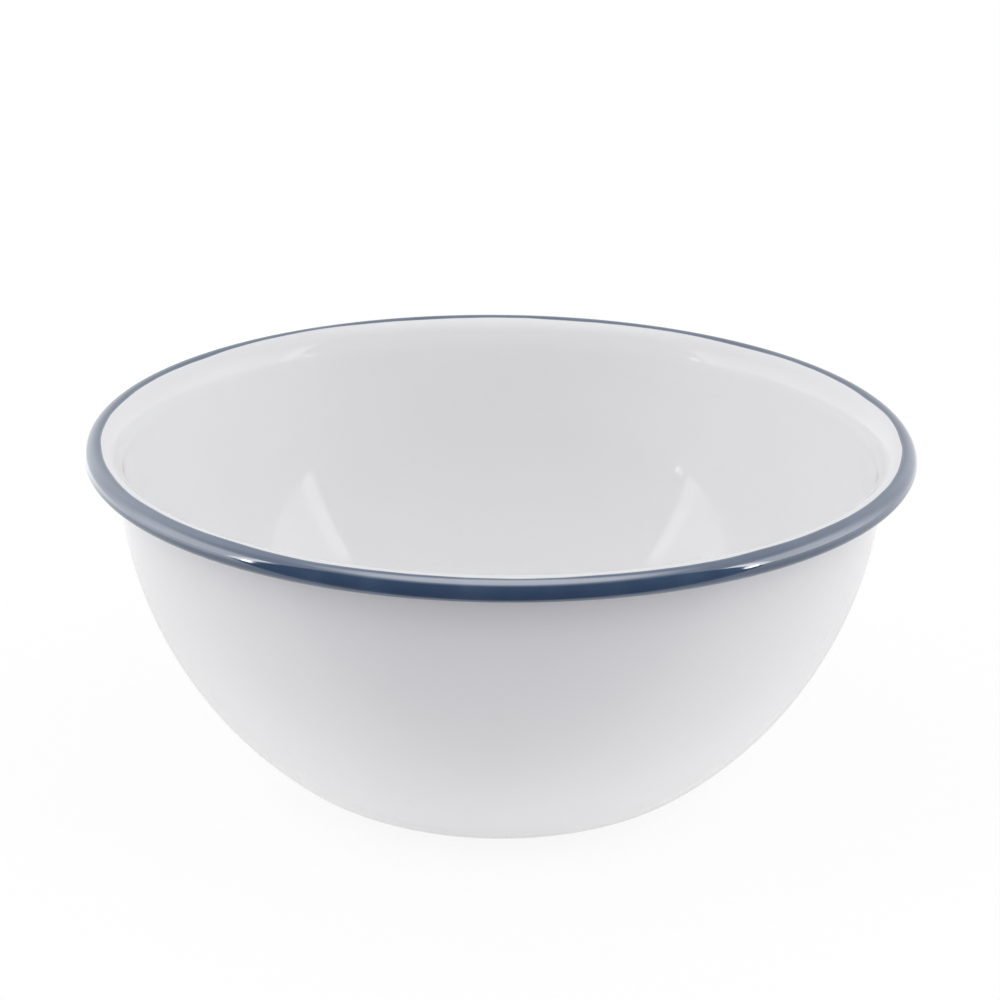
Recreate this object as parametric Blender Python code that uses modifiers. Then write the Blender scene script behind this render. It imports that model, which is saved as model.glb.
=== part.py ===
"""Enamel cereal bowl: a pressed steel bowl with a rolled rim, under fired coats of enamel.

Units are metres, +Z is up, and the origin is the centre of the base, on the table.

The bowl is one sheet of steel. Its top side is the inside of the bowl, and runs on over the rim to
become the outside of the roll. Every coat follows the same sheet, so each piece is a layer between
two depths, measured into the wall from the finished top side.
"""

import math

import bpy
from mathutils import Vector

# Finished sizes of the bowl
RIM_DIAMETER = 0.160  # over the rolled rim
HEIGHT = 0.070  # table to the top of the rim
BASE_DIAMETER = 0.063  # the flat that stands on the table
HEEL_RADIUS = 0.0215  # outside radius where the base turns up into the wall
RIM_OVERHANG = 0.0065  # how far the rim stands out past the outside of the wall

# The rolled rim, which the press leaves a little wider than it is tall
ROLL_WIDTH = 0.0053
ROLL_HEIGHT = 0.0045
FLARE_LEAN = math.radians(60)  # lean of the sheet from upright where the lip runs into the roll
BAND_SETBACK = math.radians(11)  # how much further the sheet leans before the blue band begins
SEAM_GAP = 0.0004  # open seam between the sheet's rolled edge and the underside of the lip
COAT_TUCK = math.radians(6)  # how far the outside coats run on past that seam

# The sheet and its coats
STEEL = 0.0006
GROUND_COAT = 0.00012  # dark first coat that grips the steel
COVER_COAT = 0.00018  # white or blue coat that shows
LAYER_GAP = 0.00003  # clearance between one layer and the next

# How finely the round shapes are divided
TURN_STEPS = 40
HEEL_STEPS = 4
WALL_STEPS = 6
TUCK_STEPS = 3
LIP_STEPS = 2
CREST_STEPS = 1  # for each short stretch from the lip up to the top of the roll
QUARTER_STEPS = 4  # for the roll's outer and lower quarters

# Depths into the wall from its finished top side
INSIDE_COVER = (0.0, COVER_COAT)
INSIDE_GROUND = (INSIDE_COVER[1] + LAYER_GAP, INSIDE_COVER[1] + LAYER_GAP + GROUND_COAT)
SHEET = (INSIDE_GROUND[1] + LAYER_GAP, INSIDE_GROUND[1] + LAYER_GAP + STEEL)
OUTSIDE_GROUND = (SHEET[1] + LAYER_GAP, SHEET[1] + LAYER_GAP + GROUND_COAT)
OUTSIDE_COVER = (OUTSIDE_GROUND[1] + LAYER_GAP, OUTSIDE_GROUND[1] + LAYER_GAP + COVER_COAT)
WALL = OUTSIDE_COVER[1]

# Leans of the sheet, turned from upright out over the rim
UPRIGHT = 0.0
LEVEL = math.radians(90)  # running outwards, as in the base and at the top of the roll
PLUMB = math.radians(180)  # running down, at the outermost point of the roll
RETURNING = math.radians(270)  # running back in, at the bottom of the roll
FULL_TURN = math.radians(360)

AXIS_MERGE = 1e-6  # points this near the axis are on it
SEAM_HALVINGS = 50


def top_side(lean):
    """Unit vector out of the sheet's top side, as (radius, height), where the sheet leans this far."""
    return Vector((-math.cos(lean), math.sin(lean)))


def arc(start, lean_from, lean_to, radius, steps):
    """Stations (point, lean) along an arc of the top side, after its start."""
    bend = 1 if lean_to < lean_from else -1  # 1 bends up towards the axis, -1 out over the rim
    centre = start + bend * radius * top_side(lean_from)
    stations = []
    for step in range(1, steps + 1):
        lean = lean_from + (lean_to - lean_from) * step / steps
        stations.append((centre - bend * radius * top_side(lean), lean))
    return stations


def roll_point(lean):
    """Point on the finished outside of the roll, an ellipse, where the sheet leans this far."""
    half_width, half_height = ROLL_WIDTH / 2, ROLL_HEIGHT / 2
    centre = Vector((RIM_DIAMETER / 2 - half_width, HEIGHT - half_height))
    turn = math.atan2(half_height * math.sin(lean), half_width * math.cos(lean))
    return centre + Vector((-half_width * math.cos(turn), half_height * math.sin(turn)))


def roll(lean_from, lean_to, steps):
    """Stations along the roll, after its start."""
    leans = [lean_from + (lean_to - lean_from) * step / steps for step in range(1, steps + 1)]
    return [(roll_point(lean), lean) for lean in leans]


def seam_lean(lip_centre, lip_outside_radius):
    """Lean at which the rolled edge has come round to within the seam's gap of the lip's underside."""
    low, high = RETURNING, FULL_TURN
    for _ in range(SEAM_HALVINGS):
        middle = (low + high) / 2
        gap = lip_outside_radius - (roll_point(middle) - lip_centre).length
        low, high = (middle, high) if gap > SEAM_GAP else (low, middle)
    return low


def meridian():
    """The finished top side from the centre of the base to the rolled edge, as named stretches of
    stations in order. Each stretch starts where the one before it ends."""
    neck_radius = RIM_DIAMETER / 2 - RIM_OVERHANG
    lip_end = roll_point(FLARE_LEAN)
    lip_radius = (lip_end[0] - neck_radius + WALL) / (1 - math.cos(FLARE_LEAN))
    neck = lip_end - lip_radius * Vector((1 - math.cos(FLARE_LEAN), math.sin(FLARE_LEAN)))
    lip_centre = neck + Vector((lip_radius, 0))

    # The wall is the one arc that leaves the heel smoothly and stands upright at the neck
    base_radius = BASE_DIAMETER / 2
    across = neck_radius - base_radius - HEEL_RADIUS
    rise = neck[1] - HEEL_RADIUS
    wall_radius = HEEL_RADIUS + (across**2 + rise**2) / (2 * across)
    heel_lean = math.atan2(rise, wall_radius - HEEL_RADIUS - across)

    edge_lean = seam_lean(lip_centre, lip_radius - WALL)
    to_edge = roll_point(edge_lean) - lip_centre
    tuck_lean = min(math.atan2(to_edge[1], -to_edge[0]) + COAT_TUCK, FLARE_LEAN)
    white_lean = FLARE_LEAN + BAND_SETBACK
    blue_lean = white_lean + 2 * LAYER_GAP / ROLL_HEIGHT

    base = [(Vector((0, WALL)), LEVEL), (Vector((base_radius, WALL)), LEVEL)]
    heel = arc(base[-1][0], LEVEL, heel_lean, HEEL_RADIUS - WALL, HEEL_STEPS)
    wall = arc(heel[-1][0], heel_lean, UPRIGHT, wall_radius - WALL, WALL_STEPS)
    tuck = arc(wall[-1][0], UPRIGHT, tuck_lean, lip_radius, TUCK_STEPS)
    lip = arc(tuck[-1][0], tuck_lean, FLARE_LEAN, lip_radius, LIP_STEPS)
    return {
        "base": base,
        "heel": heel,
        "wall": wall,
        "tuck": tuck,
        "lip": lip,
        "white edge": roll(FLARE_LEAN, white_lean, CREST_STEPS),
        "blue edge": roll(white_lean, blue_lean, CREST_STEPS),
        "crest": roll(blue_lean, LEVEL, CREST_STEPS),
        "outer quarter": roll(LEVEL, PLUMB, QUARTER_STEPS),
        "lower quarter": roll(PLUMB, RETURNING, QUARTER_STEPS),
        "rolled edge": roll(RETURNING, edge_lean, LIP_STEPS),
    }


def along(stretches, first, last):
    """The stations of the stretches from one name to another."""
    names = list(stretches)
    chosen = names[names.index(first) : names.index(last) + 1]
    return [station for name in chosen for station in stretches[name]]


def material(name, colour, roughness, metallic=0.0):
    made = bpy.data.materials.new(name)
    made.use_nodes = True
    shader = made.node_tree.nodes["Principled BSDF"]
    shader.inputs["Base Color"].default_value = (*colour, 1.0)
    shader.inputs["Roughness"].default_value = roughness
    shader.inputs["Metallic"].default_value = metallic
    return made


def turned_layer(name, stations, depths, finish, collection, parent):
    """One layer of the wall: its section between two depths, turned about the bowl's axis."""
    near, far = depths
    top = [point - near * top_side(lean) for point, lean in stations]
    under = [point - far * top_side(lean) for point, lean in reversed(stations)]
    section = [(radius, 0.0, height) for radius, height in top + under]
    edges = [(i, i + 1) for i in range(len(section) - 1)]
    if section[0][0] > 0:  # a section that starts on the axis is closed there by turning it
        edges.append((len(section) - 1, 0))
    mesh = bpy.data.meshes.new(name)
    mesh.from_pydata(section, edges, [])
    layer = bpy.data.objects.new(name, mesh)
    mesh.materials.append(finish)
    collection.objects.link(layer)
    layer.parent = parent
    screw = layer.modifiers.new("turn", "SCREW")
    screw.axis = "Z"
    screw.angle = FULL_TURN
    screw.steps = screw.render_steps = TURN_STEPS
    screw.use_merge_vertices = True
    screw.merge_threshold = AXIS_MERGE
    return layer


def build():
    for old in list(bpy.data.objects):
        bpy.data.objects.remove(old)
    collection = bpy.data.collections.new("enamel_cereal_bowl")
    bpy.context.scene.collection.children.link(collection)
    axis = bpy.data.objects.new("bowl_axis", None)
    collection.objects.link(axis)

    steel = material("deep_drawn_steel", (0.42, 0.42, 0.43), 0.35, metallic=1.0)
    ground = material("ground_enamel", (0.012, 0.014, 0.024), 0.22)
    white = material("white_enamel", (0.80, 0.80, 0.81), 0.12)
    blue = material("blue_enamel", (0.040, 0.066, 0.110), 0.12)

    stretches = meridian()
    layers = (
        ("steel_bowl", "base", "rolled edge", SHEET, steel),
        ("ground_coat_inside", "base", "rolled edge", INSIDE_GROUND, ground),
        ("ground_coat_outside", "base", "tuck", OUTSIDE_GROUND, ground),
        ("white_coat_inside", "base", "white edge", INSIDE_COVER, white),
        ("white_coat_outside", "base", "tuck", OUTSIDE_COVER, white),
        ("blue_rim_coat", "blue edge", "rolled edge", INSIDE_COVER, blue),
    )
    for name, first, last, depths, finish in layers:
        turned_layer(name, along(stretches, first, last), depths, finish, collection, axis)


build()
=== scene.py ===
# %% [markdown]
# # An enamel cereal bowl
# Enamelware is glass on steel. One disc of sheet steel is drawn into a bowl in a press, its edge is
# rolled outwards so that nobody is cut, and coats of powdered glass are fired onto it until they melt.
# A dark ground coat grips the metal, white goes over it inside and out, and a blue coat closes the rim.
# The measured model already holds these six layers in their places. This lesson gives each of them a
# smooth shape and a finish. The model comes first, because later sizes are read from it.

import math

import bpy
from mathutils import Matrix, Vector


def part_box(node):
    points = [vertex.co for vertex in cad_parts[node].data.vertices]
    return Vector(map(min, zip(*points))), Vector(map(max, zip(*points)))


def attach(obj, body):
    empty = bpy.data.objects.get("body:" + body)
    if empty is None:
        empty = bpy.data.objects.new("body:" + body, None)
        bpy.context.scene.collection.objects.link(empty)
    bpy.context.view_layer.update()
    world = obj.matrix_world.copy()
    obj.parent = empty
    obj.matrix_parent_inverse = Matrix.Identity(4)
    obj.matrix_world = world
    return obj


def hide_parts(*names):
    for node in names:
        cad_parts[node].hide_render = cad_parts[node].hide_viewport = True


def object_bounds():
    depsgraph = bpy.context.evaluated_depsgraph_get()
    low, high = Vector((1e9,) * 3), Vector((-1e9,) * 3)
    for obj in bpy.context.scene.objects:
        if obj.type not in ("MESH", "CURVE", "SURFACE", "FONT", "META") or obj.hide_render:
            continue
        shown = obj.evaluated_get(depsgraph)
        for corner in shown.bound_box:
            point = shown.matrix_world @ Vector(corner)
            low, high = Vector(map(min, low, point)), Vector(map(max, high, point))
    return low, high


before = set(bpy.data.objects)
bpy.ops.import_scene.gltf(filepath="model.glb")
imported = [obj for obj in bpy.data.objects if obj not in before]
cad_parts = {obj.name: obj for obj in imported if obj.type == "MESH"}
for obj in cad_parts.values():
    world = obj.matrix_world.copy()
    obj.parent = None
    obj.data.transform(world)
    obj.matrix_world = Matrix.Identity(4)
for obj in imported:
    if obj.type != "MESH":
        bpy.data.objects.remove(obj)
cad_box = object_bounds()
print("layers in the measured model:", ", ".join(sorted(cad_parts)))
print("its box in millimetres:", [round(1000 * side, 2) for side in cad_box[1] - cad_box[0]])

# %% [markdown]
# ## The camera
# A render is easiest to judge when it lines up with the photograph, so the camera is made before any
# piece. The ellipse of a round rim gives the viewing angle, and the way the near side of the rim looks
# larger than the far side gives the distance. Shifting the lens would also centre the bowl in the
# picture, but tilting the camera up a little does it without a shift that other views would keep.

# %% Camera
CAMERA_DISTANCE = 0.520  # metres from the middle of the bowl
CAMERA_ELEVATION = math.radians(22.317)  # above the table
CAMERA_TILT = math.radians(2.061)  # up from the middle of the bowl
CAMERA_ROLL = math.radians(0.62)  # the right side of the rim sits a little lower in the picture
SENSOR_WIDTH = 36.0  # millimetres
LENS = 94.37  # millimetres

middle = (cad_box[0] + cad_box[1]) / 2
towards_camera = Vector((0, -math.cos(CAMERA_ELEVATION), math.sin(CAMERA_ELEVATION)))
camera = bpy.data.objects.new("photo_camera", bpy.data.cameras.new("photo_camera"))
bpy.context.scene.collection.objects.link(camera)
camera.data.sensor_width = SENSOR_WIDTH
camera.data.lens = LENS
camera.matrix_world = (
    Matrix.Translation(middle + CAMERA_DISTANCE * towards_camera)
    @ Matrix.Rotation(math.radians(90) - CAMERA_ELEVATION + CAMERA_TILT, 4, "X")
    @ Matrix.Rotation(CAMERA_ROLL, 4, "Z")
)
bpy.context.scene.camera = camera
print("camera at", [round(value, 3) for value in camera.location])

# %% [markdown]
# ## The line of the wall
# A pressed bowl is a shape of revolution, so one line says everything: the finished inside of the wall,
# from the middle of the floor up to the neck, out over the lip and round the rolled edge. It could be
# drawn by eye as a spline. Arcs are better here, because press tools are cut as arcs, and each meets
# the next with no kink, which a glossy coat would show at once. At the neck the wall still leans out a
# little, as the outline in the photograph does. Depths into the wall are measured from this line.

# %% Sizes of the wall
BASE_RADIUS = 0.0315  # the flat that stands on the table
HEEL_RADIUS = 0.0215  # outside, where the base turns up
RIM_OVERHANG = 0.0060  # how far the rim stands out past the neck, where the lip begins
NECK_LEAN = math.radians(1.5)  # lean of the wall from upright at the neck
ROLL_WIDTH = 0.0053
LIP_LEAN = math.radians(60)  # lean of the sheet where the lip runs into the roll
BAND_LEAN = math.radians(71.4)  # where the blue band begins
EDGE_LEAN = math.radians(325)  # where the rolled edge stops, just short of the lip
COVER_COAT = 0.00018  # the white or the blue
GROUND_COAT = 0.00012
STEEL = 0.0006
LAYER_GAP = 0.00003  # clearance between layers, as in the measured model

rim_low, rim_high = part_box("blue_rim_coat")
RIM_RADIUS, RIM_TOP = rim_high.x, rim_high.z
ROLL_HEIGHT = rim_high.z - rim_low.z
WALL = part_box("white_coat_inside")[0].z + COVER_COAT
print(f"wall {1000 * WALL:.2f} mm thick, roll {1000 * ROLL_WIDTH:.2f} by {1000 * ROLL_HEIGHT:.2f} mm")

# %% Points along arcs and the roll
STEP = 0.0003  # metres between points of the line
ROLL_STEP = STEP / 4  # and on the roll, which bends much more tightly
LEVEL = math.radians(90)


def top_side(lean):
    """Unit vector out of the wall's finished side where the sheet leans this far from upright."""
    return Vector((-math.cos(lean), 0, math.sin(lean)))


def bend(line, lean_from, lean_to, radius):
    """Carry the line on along an arc that starts at one lean and ends at another."""
    turn = 1 if lean_to < lean_from else -1  # 1 bends up, -1 bends out over the rim
    centre = line[-1] + turn * radius * top_side(lean_from)
    steps = math.ceil(abs(lean_to - lean_from) * radius / STEP)
    for step in range(1, steps + 1):
        line.append(centre - turn * radius * top_side(lean_from + (lean_to - lean_from) * step / steps))


def roll_point(lean):
    """Point on the roll, a flattened circle, where the sheet leans this far."""
    turn = math.atan2(ROLL_HEIGHT * math.sin(lean), ROLL_WIDTH * math.cos(lean))
    return Vector((
        RIM_RADIUS - ROLL_WIDTH / 2 * (1 + math.cos(turn)),
        0,
        RIM_TOP - ROLL_HEIGHT / 2 * (1 - math.sin(turn)),
    ))


def length(line):
    return sum((b - a).length for a, b in zip(line, line[1:]))


print(f"points every {1000 * STEP:.2f} mm, and every {1000 * ROLL_STEP:.3f} mm on the roll")

# %% Where the arcs meet
lip_end = roll_point(LIP_LEAN)
lip_reach = top_side(LIP_LEAN) - top_side(NECK_LEAN)
lip_radius = (lip_end.x - RIM_RADIUS + RIM_OVERHANG + WALL * math.cos(NECK_LEAN)) / lip_reach.x
neck = lip_end - lip_radius * lip_reach
lip_centre = neck - lip_radius * top_side(NECK_LEAN)
neck_outside = neck - WALL * top_side(NECK_LEAN)
heel_centre = Vector((BASE_RADIUS, 0, HEEL_RADIUS))
heel_to_neck = neck_outside - heel_centre
# The wall is the one arc that leaves the heel smoothly and has the neck's lean at its top
wall_radius = (heel_to_neck.length_squared - HEEL_RADIUS**2) / (
    -2 * (heel_to_neck.dot(top_side(NECK_LEAN)) + HEEL_RADIUS))
wall_centre = neck_outside + wall_radius * top_side(NECK_LEAN)
heel_lean = math.atan2(wall_centre.z - heel_centre.z, heel_centre.x - wall_centre.x)
outside_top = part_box("white_coat_outside")[1].z
tuck_lean = math.asin((outside_top - lip_centre.z) / (lip_radius - WALL + COVER_COAT))
print(f"arcs of {1000 * wall_radius:.1f} mm in the wall and {1000 * lip_radius:.1f} mm in the lip")

# %% Draw the line
wall_line = [Vector((0, 0, WALL)), Vector((BASE_RADIUS, 0, WALL))]
bend(wall_line, LEVEL, heel_lean, HEEL_RADIUS - WALL)
bend(wall_line, heel_lean, NECK_LEAN, wall_radius - WALL)
print(f"the wall's arc misses the neck by {1e6 * (wall_line[-1] - neck).length:.2f} micrometres")
bend(wall_line, NECK_LEAN, tuck_lean, lip_radius)
TUCK = length(wall_line)  # where the outside coats end, inside the roll
bend(wall_line, tuck_lean, LIP_LEAN, lip_radius)
roll_steps = math.ceil((EDGE_LEAN - LIP_LEAN) * ROLL_WIDTH / 2 / ROLL_STEP)
leans = [LIP_LEAN + (EDGE_LEAN - LIP_LEAN) * step / roll_steps for step in range(1, roll_steps + 1)]
to_band = [roll_point(lean) for lean in leans if lean < BAND_LEAN]
BAND = length(wall_line + to_band)  # where the white stops and the blue begins
wall_line += [roll_point(lean) for lean in sorted(leans + [LEVEL, 2 * LEVEL, 3 * LEVEL])]
EDGE = length(wall_line)
print(f"line of {len(wall_line)} points: band at {1000 * BAND:.1f} mm, edge at {1000 * EDGE:.1f} mm")

# %% [markdown]
# ## Writing nodes as sums
# Finishes and shapes are both made of nodes, and a page of links between Math nodes is hard to read. A
# small class wraps a socket, so that `1 - mask * 0.3` in Python adds the Math nodes for it. Every
# other kind of node comes from one method, which sets the node's settings, then its sockets.

# %% A socket that does sums


class Wire:
    """A socket in a node tree. Sums on it add Math nodes, and node() adds a node of any kind."""

    def __init__(self, tree, socket=None):
        self.tree, self.socket = tree, socket

    def node(self, kind, settings=None, sockets=None, output=0):
        made = self.tree.nodes.new(kind)
        for name, value in (settings or {}).items():
            setattr(made, name, value)
        for name, value in (sockets or {}).items():
            if isinstance(value, Wire):
                self.tree.links.new(value.socket, made.inputs[name])
            else:
                made.inputs[name].default_value = value
        return Wire(self.tree, made.outputs[output])

    def maths(self, operation, *values):
        return self.node("ShaderNodeMath", {"operation": operation}, dict(enumerate(values)))

    def __add__(self, other):
        return self.maths("ADD", self, other)

    def __sub__(self, other):
        return self.maths("SUBTRACT", self, other)

    def __rsub__(self, other):
        return self.maths("SUBTRACT", other, self)

    def __mul__(self, other):
        return self.maths("MULTIPLY", self, other)

    def __truediv__(self, other):
        return self.maths("DIVIDE", self, other)

    def __gt__(self, other):
        return self.maths("GREATER_THAN", self, other)

    def __lt__(self, other):
        return self.maths("LESS_THAN", self, other)

    __radd__, __rmul__ = __add__, __mul__

    def ease(self, low, high):
        """0 below low, 1 above high, and a smooth rise between. Low above high turns it round."""
        values = {"Value": self, "From Min": low, "From Max": high}
        return self.node("ShaderNodeMapRange", {"interpolation_type": "SMOOTHSTEP"}, values)

    def fade(self, first, second):
        """A number that goes from the first to the second as this wire goes from 0 to 1."""
        return first + (second - first) * self

    def blend(self, first, second):
        """A colour that goes from the first to the second as this wire goes from 0 to 1."""
        return self.node("ShaderNodeMix", {"data_type": "RGBA"}, {0: self, 6: first, 7: second}, output=2)


print("arithmetic on sockets is ready")

# %% [markdown]
# ## What every coat shares
# Molten glass pulls itself almost flat, but never quite: a fired coat has long, low waves, and a fine
# ripple like the skin of an orange. Heights here are real ones, in metres, so the Bump node's distance
# is 1. A texture painted by hand would also do, but noise on Object coordinates needs no unwrapping,
# and the same numbers suit every coat, because all are measured in metres.

# %% Start a finish and give it a fired surface
WAVES_PER_METRE, RIPPLES_PER_METRE = 34, 430


def start_finish(name):
    """A new material: itself, its shader's sockets, and its place on the object."""
    made = bpy.data.materials.new(name)
    made.use_nodes = True
    tree = made.node_tree
    place = Wire(tree).node("ShaderNodeTexCoord", output="Object")
    return made, tree.nodes["Principled BSDF"].inputs, place


def noise(place, per_metre, detail):
    """Soft noise from 0 to 1, with this many lumps in a metre."""
    return place.node("ShaderNodeTexNoise", None, {"Vector": place, "Scale": per_metre, "Detail": detail})


def fired_skin(place, waves, ripple):
    """Height in metres of a fired coat: long waves and a fine ripple."""
    low_waves = noise(place, WAVES_PER_METRE, detail=1) * waves
    return low_waves + noise(place, RIPPLES_PER_METRE, detail=1) * ripple


def connect(wire, socket):
    wire.tree.links.new(wire.socket, socket)


def use_height(height, shader):
    """Let the shader show this height, in metres, as relief."""
    connect(height.node("ShaderNodeBump", None, {"Distance": 1.0, "Height": height}), shader["Normal"])


print("a fired surface is ready to share")

# %% [markdown]
# ## White enamel
# The white coat is the bowl's whole look: clean and glassy, a little cool, with a few pinhead bumps
# where a grain lay under it, and rare grey specks. It thins where the wall turns out over the lip, and
# the lip's colour is also darkened there as painted shade, to tone down the light that it takes from
# above. The coat is scuffed where the base stands. Plain white plastic would need only a colour. Here
# the tone drifts slightly with thickness, and the gloss varies, so that highlights have soft life.
# Glass has an index of refraction near 1.5. This one is lower, because the photograph shows only faint
# reflections in its palest tones.

# %% Dots by chance
DOT_SCATTER = 0.85  # 0 sets the dots in rows, and 1 lets them fall anywhere


def scattered(place, per_metre, share, radius):
    """1 at the middle of scattered dots of this radius in metres, which only a share of the cells hold."""
    sockets = {"Vector": place, "Scale": per_metre, "Randomness": DOT_SCATTER}
    near = place.node("ShaderNodeTexVoronoi", None, sockets, output="Distance")
    chance = place.node("ShaderNodeTexVoronoi", None, sockets, output="Color")
    chosen = place.node("ShaderNodeSeparateColor", None, {"Color": chance}) < share
    return near.ease(radius * per_metre, 0.0) * chosen


print("dots are placed by chance, with a scatter of", DOT_SCATTER)

# %% White enamel
WHITE = (0.88, 0.88, 0.89, 1)
WHITE_THICK = (0.90, 0.90, 0.91, 1)
# the lip's white: partly a thinner coat, partly painted shade that tones down the light from above
LIP_THIN_AND_SHADED = (0.80, 0.80, 0.82, 1)
SPECK_GREY, SPECK_STRENGTH = (0.42, 0.41, 0.40, 1), 0.7
SCUFF_GREY, SCUFF_STRENGTH = (0.60, 0.59, 0.57, 1), 0.5
LIP_FROM, LIP_TO = 0.0645, 0.0690  # metres above the table, where the coat thins and the lip is painted darker as shade
SCUFF_FROM, SCUFF_TO = 0.0009, 0.0001  # only what touches the table is scuffed
WHITE_ROUGH, WHITE_ROUGH_DRIFT, SCUFF_ROUGH = 0.03, 0.04, 0.30
WHITE_WAVES, WHITE_RIPPLE, WHITE_PIMPLE = 0.00002, 0.0000012, 0.00003  # heights in metres
WHITE_IOR = 1.23


def part_of(vector, axis):
    return vector.node("ShaderNodeSeparateXYZ", None, {0: vector}, output=axis)


white_enamel, shader, place = start_finish("white_enamel")
height_here = part_of(place, "Z")
scratched = noise(place, per_metre=900, detail=4).ease(low=0.54, high=0.66)
scuffs = height_here.ease(SCUFF_FROM, SCUFF_TO) * scratched
specks = scattered(place, per_metre=75, share=0.10, radius=0.00016)
drift = noise(place, per_metre=22, detail=3).ease(low=0.3, high=0.7)
colour = drift.blend(WHITE, WHITE_THICK)
# painted shade: the lip is darkened, partly for a thinner coat, partly for the light it takes from above
colour = height_here.ease(LIP_FROM, LIP_TO).blend(colour, LIP_THIN_AND_SHADED)
colour = (specks * SPECK_STRENGTH).blend(colour, SPECK_GREY)
colour = (scuffs * SCUFF_STRENGTH).blend(colour, SCUFF_GREY)
connect(colour, shader["Base Color"])
rough = WHITE_ROUGH + noise(place, per_metre=60, detail=2) * WHITE_ROUGH_DRIFT + scuffs * SCUFF_ROUGH
connect(rough, shader["Roughness"])
pimples = scattered(place, per_metre=48, share=0.12, radius=0.0007) * WHITE_PIMPLE
use_height(fired_skin(place, WHITE_WAVES, WHITE_RIPPLE) + pimples, shader)
shader["IOR"].default_value = WHITE_IOR
print("white enamel:", len(white_enamel.node_tree.nodes), "nodes")

# %% [markdown]
# ## Blue enamel
# The rim is dipped by hand into a thinner, darker glass. Where it lies thick it is navy, and where it
# thins out, at its edge, the layer below greys it. The edge of the dip is measured along the wall, so
# the coat carries that distance as an attribute of its mesh. A painted mask would also do, but would
# have to be painted again whenever the edge moves. In the photograph the dark glass shows stronger
# reflections than the white, so its index of refraction is set above that of real glass.

# %% Blue enamel
NAVY = (0.036, 0.073, 0.148, 1)
NAVY_THIN = (0.054, 0.097, 0.178, 1)
EDGE_GREY = (0.24, 0.29, 0.38, 1)
FEATHER = 0.0005  # metres over which the edge thins out
FEATHER_LEAST, FEATHER_DRIFT = 0.25, 0.5
BLUE_ROUGH, BLUE_ROUGH_DRIFT = 0.04, 0.05
BLUE_WAVES, BLUE_RIPPLE, BLUE_PIMPLE = 0.000012, 0.0000010, 0.00002  # heights in metres
BLUE_IOR = 1.8

blue_enamel, shader, place = start_finish("blue_enamel")
from_edge = place.node("ShaderNodeAttribute", {"attribute_name": "past_start"}, output="Fac")
uneven = FEATHER_LEAST + noise(place, per_metre=260, detail=2) * FEATHER_DRIFT
thin = noise(place, per_metre=120, detail=3).ease(low=0.35, high=0.75)
colour = thin.blend(NAVY, NAVY_THIN)
connect((from_edge.ease(FEATHER, 0.0) * uneven).blend(colour, EDGE_GREY), shader["Base Color"])
connect(BLUE_ROUGH + noise(place, per_metre=90, detail=2) * BLUE_ROUGH_DRIFT, shader["Roughness"])
pimples = scattered(place, per_metre=70, share=0.15, radius=0.0005) * BLUE_PIMPLE
use_height(fired_skin(place, BLUE_WAVES, BLUE_RIPPLE) + pimples, shader)
shader["IOR"].default_value = BLUE_IOR
print("blue enamel:", len(blue_enamel.node_tree.nodes), "nodes")

# %% [markdown]
# ## Ground enamel
# This layer never shows on a sound bowl, but a chip would uncover it, so it gets a real finish. The
# ground coat is nearly black from cobalt and full of tiny bubbles. Modelled bubbles would cost millions
# of faces, so cells of a Voronoi texture stand for them, as pits in the height and paler dots.

# %% Ground enamel
GROUND = (0.012, 0.014, 0.024, 1)
GROUND_PALE = (0.035, 0.040, 0.058, 1)
CLOUD_SHARE, BUBBLE_SHARE = 0.6, 0.4  # of the paler tone
GROUND_ROUGH, GROUND_ROUGH_DRIFT = 0.20, 0.14
GROUND_WAVES, GROUND_RIPPLE, BUBBLE_DEPTH = 0.00001, 0.000002, 0.00002  # metres

ground_enamel, shader, place = start_finish("ground_enamel")
bubbles = scattered(place, per_metre=900, share=0.5, radius=0.00035)
pale = noise(place, per_metre=150, detail=3) * CLOUD_SHARE + bubbles * BUBBLE_SHARE
connect(pale.blend(GROUND, GROUND_PALE), shader["Base Color"])
connect(GROUND_ROUGH + noise(place, per_metre=220, detail=2) * GROUND_ROUGH_DRIFT, shader["Roughness"])
use_height(fired_skin(place, GROUND_WAVES, GROUND_RIPPLE) - bubbles * BUBBLE_DEPTH, shader)
print("ground enamel:", len(ground_enamel.node_tree.nodes), "nodes")

# %% [markdown]
# ## Drawn steel
# Under the glass lies bare steel, which only a deep chip would show. It keeps fine rings from the press,
# one below the other, and a bluish scale from the furnace. A Wave texture could draw the rings. A sine
# of the height does it with fewer nodes, and a little noise in it keeps the rings from being perfect.

# %% Drawn steel
STEEL_GREY = (0.42, 0.42, 0.43, 1)
STEEL_SCALE = (0.19, 0.20, 0.24, 1)
RINGS, RING_STRAY = 5200, 3  # radians of the sine in a metre, and how far noise moves it
STEEL_ROUGH, STEEL_ROUGH_DRIFT, RING_ROUGH = 0.36, 0.12, 0.03
RING_HEIGHT, STEEL_GRAIN = 0.0000015, 0.000002  # metres

drawn_steel, shader, place = start_finish("deep_drawn_steel")
ring_stray = noise(place, per_metre=60, detail=2) * RING_STRAY
press_rings = place.maths("SINE", part_of(place, "Z") * RINGS + ring_stray)
scale = noise(place, per_metre=45, detail=4).ease(low=0.42, high=0.68)
connect(scale.blend(STEEL_GREY, STEEL_SCALE), shader["Base Color"])
rough = STEEL_ROUGH + noise(place, per_metre=180, detail=3) * STEEL_ROUGH_DRIFT + press_rings * RING_ROUGH
connect(rough, shader["Roughness"])
use_height(press_rings * RING_HEIGHT + noise(place, per_metre=700, detail=2) * STEEL_GRAIN, shader)
shader["Metallic"].default_value = 1.0
print("drawn steel:", len(drawn_steel.node_tree.nodes), "nodes")

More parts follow.
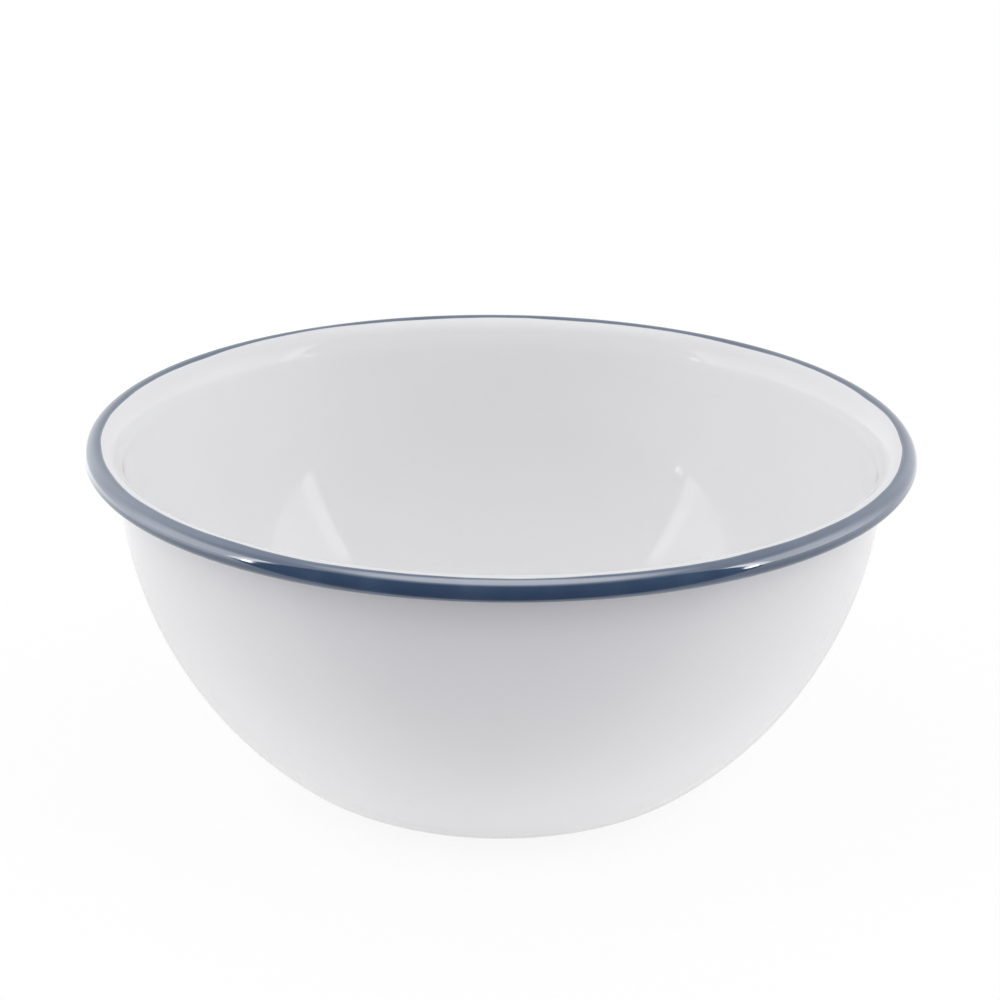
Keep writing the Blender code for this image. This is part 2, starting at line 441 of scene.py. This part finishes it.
# %% [markdown]
# ## A tree that turns a coat
# Each layer is the same thing: a stretch of the wall's line, between two depths, turned once around the
# axis. A Screw modifier could turn a drawn section, but then every section needs drawing. This tree
# bends a flat grid into the coat instead. Along one side of the grid it runs up the near face and back
# down the far face, and along the other it goes round the bowl. An end may lie further out at the front
# than at the back and wander by a small noise, because a rim dipped by hand never ends in a true circle.

# %% The tree's inputs
coat_tree = bpy.data.node_groups.new("Turned coat", "GeometryNodeTree")
coat_tree.is_modifier = True
COAT_INPUTS = (
    ("Wall line", "NodeSocketGeometry", None),
    ("Start", "NodeSocketFloat", 0.0),  # metres along the line
    ("End", "NodeSocketFloat", BAND),
    ("Near", "NodeSocketFloat", 0.0),  # depths into the wall
    ("Far", "NodeSocketFloat", COVER_COAT),
    ("Start strays", "NodeSocketFloat", 0.0),  # 1 where this end follows the edge of the dip
    ("End strays", "NodeSocketFloat", 0.0),
    ("Slant", "NodeSocketFloat", 0.0),  # metres further out at the front of the bowl than at the back
    ("Wander", "NodeSocketFloat", 0.0),  # metres either way
    ("Wander scale", "NodeSocketFloat", 3.0),
    ("Seed", "NodeSocketFloat", 22.95),
    ("Rings", "NodeSocketInt", 96),
    ("Segments", "NodeSocketInt", 384),
    ("Closed section", "NodeSocketInt", 0),  # 1 for a coat that doesn't reach the axis
    ("Finish", "NodeSocketMaterial", None),
)
for name, kind, start in COAT_INPUTS:
    socket = coat_tree.interface.new_socket(name, in_out="INPUT", socket_type=kind)
    if start is not None:
        socket.default_value = start
coat_tree.interface.new_socket("Coat", in_out="OUTPUT", socket_type="NodeSocketGeometry")
COAT_KEYS = {
    item.name: item.identifier for item in coat_tree.interface.items_tree if item.in_out == "INPUT"
}
print("inputs of the tree:", ", ".join(COAT_KEYS))

# %% Where each point of the grid goes
nodes = Wire(coat_tree)
given = coat_tree.nodes.new("NodeGroupInput")
take = {name: Wire(coat_tree, given.outputs[name]) for name in COAT_KEYS}

rings, segments = take["Rings"], take["Segments"]
columns = rings * 2 + take["Closed section"]
grid = nodes.node("GeometryNodeMeshGrid", None, {
    "Size X": 1.0, "Size Y": 1.0, "Vertices X": columns, "Vertices Y": segments + 1,
})
spot = nodes.node("GeometryNodeInputPosition")
# The grid is 1 wide and lies about the origin, so half is added to count from its corner
column = (part_of(spot, "X") + 0.5) * (columns - 1)
turn = (part_of(spot, "Y") + 0.5) * math.tau
is_far = (column > rings - 0.5) * (column < rings * 2 - 0.5)
climb = nodes.maths("MINIMUM", column, rings * 2 - 1 - column) / (rings - 1)
climb = nodes.maths("SINE", nodes.maths("MAXIMUM", climb, 0.0) * (math.pi / 2))
depth = take["Near"] + (take["Far"] - take["Near"]) * is_far
print("the grid's columns climb the wall and come back, and its rows go round")

# %% How the edge of the dip strays
DIP_TURN = math.radians(5)  # how far round from the front, to the right, the dip was least deep

cos_turn, sin_turn = nodes.maths("COSINE", turn), nodes.maths("SINE", turn)
round_rim = nodes.node("ShaderNodeCombineXYZ", None, {"X": cos_turn, "Y": sin_turn, "Z": take["Seed"]})
wander = nodes.node("ShaderNodeTexNoise", None, {
    "Vector": round_rim, "Scale": take["Wander scale"], "Detail": 2.0, "Roughness": 0.45,
}) * 2 - 1
frontness = 0.5 - nodes.maths("SINE", turn - DIP_TURN) * 0.5
stray = take["Slant"] * frontness * frontness + take["Wander"] * wander
start = take["Start"] + take["Start strays"] * stray
end = take["End"] + take["End strays"] * stray
distance = start + (end - start) * climb
print("the edge of the dip slants and wanders")

# %% Turn the grid into the coat
CORNER = math.radians(50)  # edges bent more than this keep their crease

line = nodes.node("GeometryNodeMeshToCurve", None, {"Mesh": take["Wall line"]})
sample = {"Curves": line, "Length": distance}
on_line = nodes.node("GeometryNodeSampleCurve", {"mode": "LENGTH"}, sample, output="Position")
tangent = nodes.node("GeometryNodeSampleCurve", {"mode": "LENGTH"}, sample, output="Tangent")
radius = part_of(on_line, "X") + depth * part_of(tangent, "Z")
height = part_of(on_line, "Z") - depth * part_of(tangent, "X")
placed = nodes.node("ShaderNodeCombineXYZ", None, {
    "X": radius * cos_turn, "Y": radius * sin_turn, "Z": height,
})
mesh = nodes.node("GeometryNodeStoreNamedAttribute", {"data_type": "FLOAT", "domain": "POINT"}, {
    "Geometry": grid, "Name": "past_start", "Value": distance - start,
})
mesh = nodes.node("GeometryNodeSetPosition", None, {"Geometry": mesh, "Position": placed})
mesh = nodes.node("GeometryNodeMergeByDistance", None, {"Geometry": mesh, "Distance": 1e-6})
mesh = nodes.node("GeometryNodeSetShadeSmooth", {"domain": "FACE"}, {0: mesh, "Shade Smooth": True})
mesh = nodes.node("GeometryNodeSetShadeSmooth", {"domain": "EDGE"}, {
    0: mesh, "Selection": nodes.node("GeometryNodeInputMeshEdgeAngle") > CORNER, "Shade Smooth": False,
})
mesh = nodes.node("GeometryNodeRealizeInstances", None, {"Geometry": mesh})
mesh = nodes.node("GeometryNodeSetMaterial", None, {"Geometry": mesh, "Material": take["Finish"]})
connect(mesh, coat_tree.nodes.new("NodeGroupOutput").inputs["Coat"])
print("turned coat tree:", len(coat_tree.nodes), "nodes")

# %% [markdown]
# ## The six layers
# From the inside out the wall holds white, ground, steel, ground and white, with hair-thin clearances.
# At the rim the blue takes the white's place. Each layer could be made once and copied thicker, but the
# tree gives them all the same true curve at their own depth. The blue and the white share one straying
# edge, with the same seed, so that the blue always begins exactly where the white stops.

# %% Depths and edges of the layers
WANDER = 0.00067  # metres that the dipped edge strays
SLANT = 0.0021  # metres that it lies further out at the front, where the bowl was dipped less deep
BAND_INSET = 0.0003  # metres further in at the back than the measured model has it
BAND_START = BAND - BAND_INSET
inside_ground = COVER_COAT + LAYER_GAP
sheet = inside_ground + GROUND_COAT + LAYER_GAP
outside_ground = sheet + STEEL + LAYER_GAP
outside_cover = outside_ground + GROUND_COAT + LAYER_GAP

line_mesh = bpy.data.meshes.new("wall_line")
line_mesh.from_pydata(wall_line, [(i, i + 1) for i in range(len(wall_line) - 1)], [])
print(f"steel from {1000 * sheet:.2f} mm into the wall, outer white from {1000 * outside_cover:.2f} mm")

# %% Turn every layer


def turn_coat(name, finish, near, thickness, **inputs):
    """One layer of the bowl as a plain mesh, from the wall's line and the tree's inputs."""
    draft = bpy.data.objects.new(name + "_draft", line_mesh)
    bpy.context.scene.collection.objects.link(draft)
    modifier = draft.modifiers.new("turned coat", "NODES")
    modifier.node_group = coat_tree
    values = {"Near": near, "Far": near + thickness, "Finish": finish}
    values.update({key.replace("_", " ").capitalize(): value for key, value in inputs.items()})
    for key, value in values.items():
        modifier[COAT_KEYS[key]] = value
    evaluated = draft.evaluated_get(bpy.context.evaluated_depsgraph_get())
    made = bpy.data.meshes.new_from_object(evaluated)
    bpy.data.objects.remove(draft)
    made.name = name
    coat = bpy.data.objects.new(name, made)
    bpy.context.scene.collection.objects.link(coat)
    print(name, len(made.polygons), "faces")
    return coat


coats = {
    "steel_bowl": turn_coat("drawn_bowl", drawn_steel, sheet, STEEL, end=EDGE),
    "ground_coat_inside": turn_coat(
        "inside_ground", ground_enamel, inside_ground, GROUND_COAT, end=EDGE),
    "ground_coat_outside": turn_coat(
        "outside_ground", ground_enamel, outside_ground, GROUND_COAT, end=TUCK),
    "white_coat_inside": turn_coat(
        "inside_white", white_enamel, 0.0, COVER_COAT,
        end=BAND_START, end_strays=1.0, slant=SLANT, wander=WANDER),
    "white_coat_outside": turn_coat("outside_white", white_enamel, outside_cover, COVER_COAT, end=TUCK),
    "blue_rim_coat": turn_coat(
        "blue_rim", blue_enamel, 0.0, COVER_COAT,
        start=BAND_START, start_strays=1.0, slant=SLANT, wander=WANDER, end=EDGE, closed_section=1),
}

# %% [markdown]
# ## On the frame
# The bowl is one rigid thing, with glass fused to steel, so all six layers ride on one body. Each new
# layer stands for a layer of the measured model, which is hidden, and each carries its own finish. The
# measured model, which is hidden and goes on serving for collisions. The layers could be joined into
# one mesh, but separate ones can be shown, hidden and reused apart.

# %% Put the layers on the frame
for node, coat in coats.items():
    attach(coat, "root")
    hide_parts(node)
print(len(coats), "layers ride on the bowl")

# %% [markdown]
# ## The table
# The photograph was lit until its background was pure white. More light would do that here too, and
# would bleach the bowl. Instead the table shows the camera a mostly white surface of its own, mixed
# with a share of real shading, which keeps the bowl's shadow. To the bowl it is a plain pale sheet,
# glowing a little as a light table does, which fills the shade under the wall. For the bowl this sheet
# ends a little way in front, and the table past it is dim, so that the front of the wall darkens
# towards the rim. The gloss gets its own values for the same sheet.

# %% Table top
TABLE_HALF = 6.0  # metres to each side
TABLE_DROP = 0.00005  # metres below the base, so that the two don't flicker

table_mesh = bpy.data.meshes.new("table")
table_mesh.from_pydata([
    (-TABLE_HALF, -TABLE_HALF, -TABLE_DROP), (TABLE_HALF, -TABLE_HALF, -TABLE_DROP),
    (TABLE_HALF, TABLE_HALF, -TABLE_DROP), (-TABLE_HALF, TABLE_HALF, -TABLE_DROP),
], [], [(0, 1, 2, 3)])
table = bpy.data.objects.new("table", table_mesh)
bpy.context.scene.collection.objects.link(table)
print("table", 2 * TABLE_HALF, "metres wide")

# %% The light that the table gives the bowl
TABLE_PALE = (0.86, 0.86, 0.86, 1)
TABLE_GLOW = 0.20
FRONT_EDGE, FRONT_FADE = 0.105, 0.02  # metres in front of the bowl's axis where the pale sheet ends
FRONT_GREY = 0.41  # light that comes off the table past the sheet
FRONT_VIOLET = (0.98, 0.955, 1.06, 1)

table_white = bpy.data.materials.new("table_white")
table_white.use_nodes = True
table_white.node_tree.nodes.clear()
wires = Wire(table_white.node_tree)
place = wires.node("ShaderNodeTexCoord", output="Object")
x, y = part_of(place, "X"), part_of(place, "Y")
matte = wires.node("ShaderNodeBsdfDiffuse", None, {"Color": TABLE_PALE})
glow = wires.node("ShaderNodeEmission", None, {"Strength": TABLE_GLOW})
sheet_shade = wires.node("ShaderNodeAddShader", None, {0: matte, 1: glow})
past_sheet = wires.node("ShaderNodeEmission", None, {"Color": FRONT_VIOLET, "Strength": FRONT_GREY})
past_edge = y.ease(-FRONT_EDGE, -FRONT_EDGE - FRONT_FADE)
lit = wires.node("ShaderNodeMixShader", None, {0: past_edge, 1: sheet_shade, 2: past_sheet})
print("the pale sheet ends", FRONT_EDGE, "metres in front of the bowl's axis")

# %% The table in the gloss
MIRROR_EDGE, MIRROR_EDGE_FADE, MIRROR_DARK = 0.055, 0.025, 0.10  # the same edge, and the table past it
MIRROR_SPREAD = 0.3  # metres that this edge moves forward for each metre to the side
MIRROR_NEAR = 0.8  # the sheet close to the bowl
MIRROR_FAR_LEFT, MIRROR_FAR_RIGHT = 2.6, 1.6  # and further off
NEAR_TO, FAR_FROM, SIDE_FROM = 0.08, 0.40, 0.3  # metres from the bowl's axis

from_bowl = wires.maths("SQRT", x * x + y * y)
mirror_far = x.ease(-SIDE_FROM, SIDE_FROM).fade(MIRROR_FAR_LEFT, MIRROR_FAR_RIGHT)
sheet_mirror = from_bowl.ease(NEAR_TO, FAR_FROM).fade(MIRROR_NEAR, mirror_far)
ahead = wires.maths("ABSOLUTE", x) * -MIRROR_SPREAD - y
past_mirror_edge = ahead.ease(MIRROR_EDGE, MIRROR_EDGE + MIRROR_EDGE_FADE)
mirrored = wires.node("ShaderNodeEmission", None, {
    "Strength": past_mirror_edge.fade(sheet_mirror, MIRROR_DARK),
})
print("the gloss shows a sheet of", MIRROR_NEAR, "near the bowl and a table of", MIRROR_DARK, "past it")

# %% The table for each kind of ray
SHADOW_SHARE = 0.18  # how much of the shading the camera sees

glossy = wires.node("ShaderNodeLightPath", output="Is Glossy Ray")
to_camera = wires.node("ShaderNodeLightPath", output="Is Camera Ray")
to_bowl = wires.node("ShaderNodeMixShader", None, {0: glossy, 1: lit, 2: mirrored})
white = wires.node("ShaderNodeEmission", None, {"Color": (1, 1, 1, 1), "Strength": 1.0})
seen = wires.node("ShaderNodeMixShader", None, {0: 1 - SHADOW_SHARE, 1: sheet_shade, 2: white})
surface = wires.node("ShaderNodeMixShader", None, {0: to_camera, 1: to_bowl, 2: seen})
connect(surface, table_white.node_tree.nodes.new("ShaderNodeOutputMaterial").inputs["Surface"])
table_mesh.materials.append(table_white)
print("table finish:", len(table_white.node_tree.nodes), "nodes")

# %% [markdown]
# ## The room
# Gloss shows the room, so the room has to be right for gloss and for shade alike. In shade the bowl
# sits under a soft sky, bright above and at both ends, and dim in front and straight behind, so that
# its back keeps a tone of its own against the white. In its gloss it mirrors pale panels beside it,
# with brighter ends, and a dim space around the camera. The line between the two draws the bright
# wedges inside the bowl. A studio full of real panels could do both at once. Separate values for the
# two kinds of ray are simpler to set.

# %% Directions in the room
FLAT = 1e-6  # keeps the heading finite straight up and down

world = bpy.data.worlds.new("studio")
bpy.context.scene.world = world
world.use_nodes = True
wires = Wire(world.node_tree)
direction = wires.node("ShaderNodeTexCoord", output="Generated")
x, y, z = (part_of(direction, axis) for axis in "XYZ")
heading = y / wires.maths("SQRT", x * x + y * y + FLAT)


def round_from(first, last):
    """0 at the first heading and 1 at the last, in degrees round from straight behind the bowl."""
    return heading.ease(math.cos(math.radians(first)), math.cos(math.radians(last)))


def up_from(first, last):
    """0 at the first height and 1 at the last, in degrees above the horizon."""
    return z.ease(math.sin(math.radians(first)), math.sin(math.radians(last)))


print("directions are given round the bowl and above the horizon")

# %% The sky that lights the bowl
SKY_TOP, SKY_ENDS, SKY_FRONT = 1.13, 1.75, 0.45
SKY_BACK, SKY_SIDES = 0.40, 0.90
BACK_ROUND, ENDS_ROUND, FRONT_ROUND = (60, 40), (92, 98), (117, 123)  # degrees round from behind
SKY_TOP_UP = (40, 50)  # degrees above the horizon

sky_behind = round_from(*BACK_ROUND).fade(SKY_SIDES, SKY_BACK)
sky_round = round_from(*ENDS_ROUND).fade(sky_behind, SKY_ENDS)
low_sky = round_from(*FRONT_ROUND).fade(sky_round, SKY_FRONT)
sky = up_from(*SKY_TOP_UP).fade(low_sky, SKY_TOP)
print("sky:", SKY_TOP, "from above,", SKY_ENDS, "from the ends and", SKY_FRONT, "from the front")

# %% The room that the gloss shows
MIRROR_LEFT, MIRROR_BACK, MIRROR_RIGHT = 1.9, 1.05, 1.5  # behind the bowl
LEFT_TO_BACK, BACK_TO_RIGHT = (-0.55, 0.0), (0.1, 0.5)  # sideways, in a direction of length 1
MIRROR_SIDE, MIRROR_SIDE_HIGH, MIRROR_TOP = 3.6, 1.4, 4.4  # the side panels and the ceiling
PANEL_EDGE_LEFT, PANEL_EDGE_RIGHT = 6.6, 7.4  # the ends of the side panels nearest the camera
PANEL_SWAP = 0.1  # sideways, where the left end gives way to the right one
MIRROR_FRONT, MIRROR_FRONT_HIGH = 0.12, 1.3  # around the camera
SIDE_ROUND, PANEL_EDGE_ROUND, CAMERA_ROUND = (42, 85), (105, 108), (112, 113)  # degrees, as above
SIDE_UP, PANEL_EDGE_UP, CAMERA_UP, CEILING_UP = (28, 45), (38, 35), (48, 66), (60, 78)

behind = x.ease(*LEFT_TO_BACK).fade(MIRROR_LEFT, MIRROR_BACK)
behind = x.ease(*BACK_TO_RIGHT).fade(behind, MIRROR_RIGHT)
beside = up_from(*SIDE_UP).fade(MIRROR_SIDE, MIRROR_SIDE_HIGH)
panels = round_from(*SIDE_ROUND).fade(behind, beside)
panel_edge = round_from(*PANEL_EDGE_ROUND) * up_from(*PANEL_EDGE_UP)
edge_light = x.ease(-PANEL_SWAP, PANEL_SWAP).fade(PANEL_EDGE_LEFT, PANEL_EDGE_RIGHT)
panels = panel_edge.fade(panels, edge_light)
camera_side = up_from(*CAMERA_UP).fade(MIRROR_FRONT, MIRROR_FRONT_HIGH)
mirror = round_from(*CAMERA_ROUND).fade(panels, camera_side)
mirror = up_from(*CEILING_UP).fade(mirror, MIRROR_TOP)
print("gloss:", MIRROR_SIDE, "from the sides and", MIRROR_FRONT, "from the front")

# %% The room for each kind of ray
glossy = wires.node("ShaderNodeLightPath", output="Is Glossy Ray")
to_camera = wires.node("ShaderNodeLightPath", output="Is Camera Ray")
background = world.node_tree.nodes["Background"]
connect(to_camera.fade(glossy.fade(sky, mirror), 1.0), background.inputs["Strength"])
background.inputs["Color"].default_value = (1, 1, 1, 1)
print("room:", len(world.node_tree.nodes), "nodes")

# %% [markdown]
# ## Lamps
# The photograph's rim carries a small bright highlight on each side of the front. Narrow lamps low on
# both sides make them. Brighter spots in the world could do it too, but a small bright spot there
# renders with grain, while a lamp stays clean.

# %% Lamps
LAMP_DISTANCE = 1.2  # metres from the bowl
LAMP_WATTS = 4  # for each square metre, at a brightness of 1


def softbox(name, azimuth, elevation, width, height, brightness):
    """A soft lamp that faces the bowl. Azimuth runs from straight behind the bowl towards the right."""
    a, e = math.radians(azimuth), math.radians(elevation)
    outwards = Vector((math.sin(a) * math.cos(e), math.cos(a) * math.cos(e), math.sin(e)))
    lamp = bpy.data.lights.new(name, "AREA")
    lamp.shape = "RECTANGLE"
    lamp.size, lamp.size_y = width, height
    lamp.energy = LAMP_WATTS * brightness * width * height
    placed = bpy.data.objects.new(name, lamp)
    bpy.context.scene.collection.objects.link(placed)
    placed.location = middle + LAMP_DISTANCE * outwards
    placed.rotation_mode = "QUATERNION"
    placed.rotation_quaternion = outwards.to_track_quat("Z", "Y")
    placed.visible_camera = False


softbox("left_strip", azimuth=-113.4, elevation=8, width=0.026, height=0.28, brightness=12)
softbox("left_strip_ahead", azimuth=-115.2, elevation=8, width=0.026, height=0.28, brightness=12)
softbox("right_strip", azimuth=114.5, elevation=5, width=0.09, height=0.26, brightness=9)
print("two strip lamps on the left and a wider one on the right")

# %% [markdown]
# ## Closing the scene
# Blender's usual view transform softens bright tones as film does. Standard shows a colour as it is
# written, which suits a pale product on white.

# %% Close the scene
bpy.context.scene.view_settings.view_transform = "Standard"
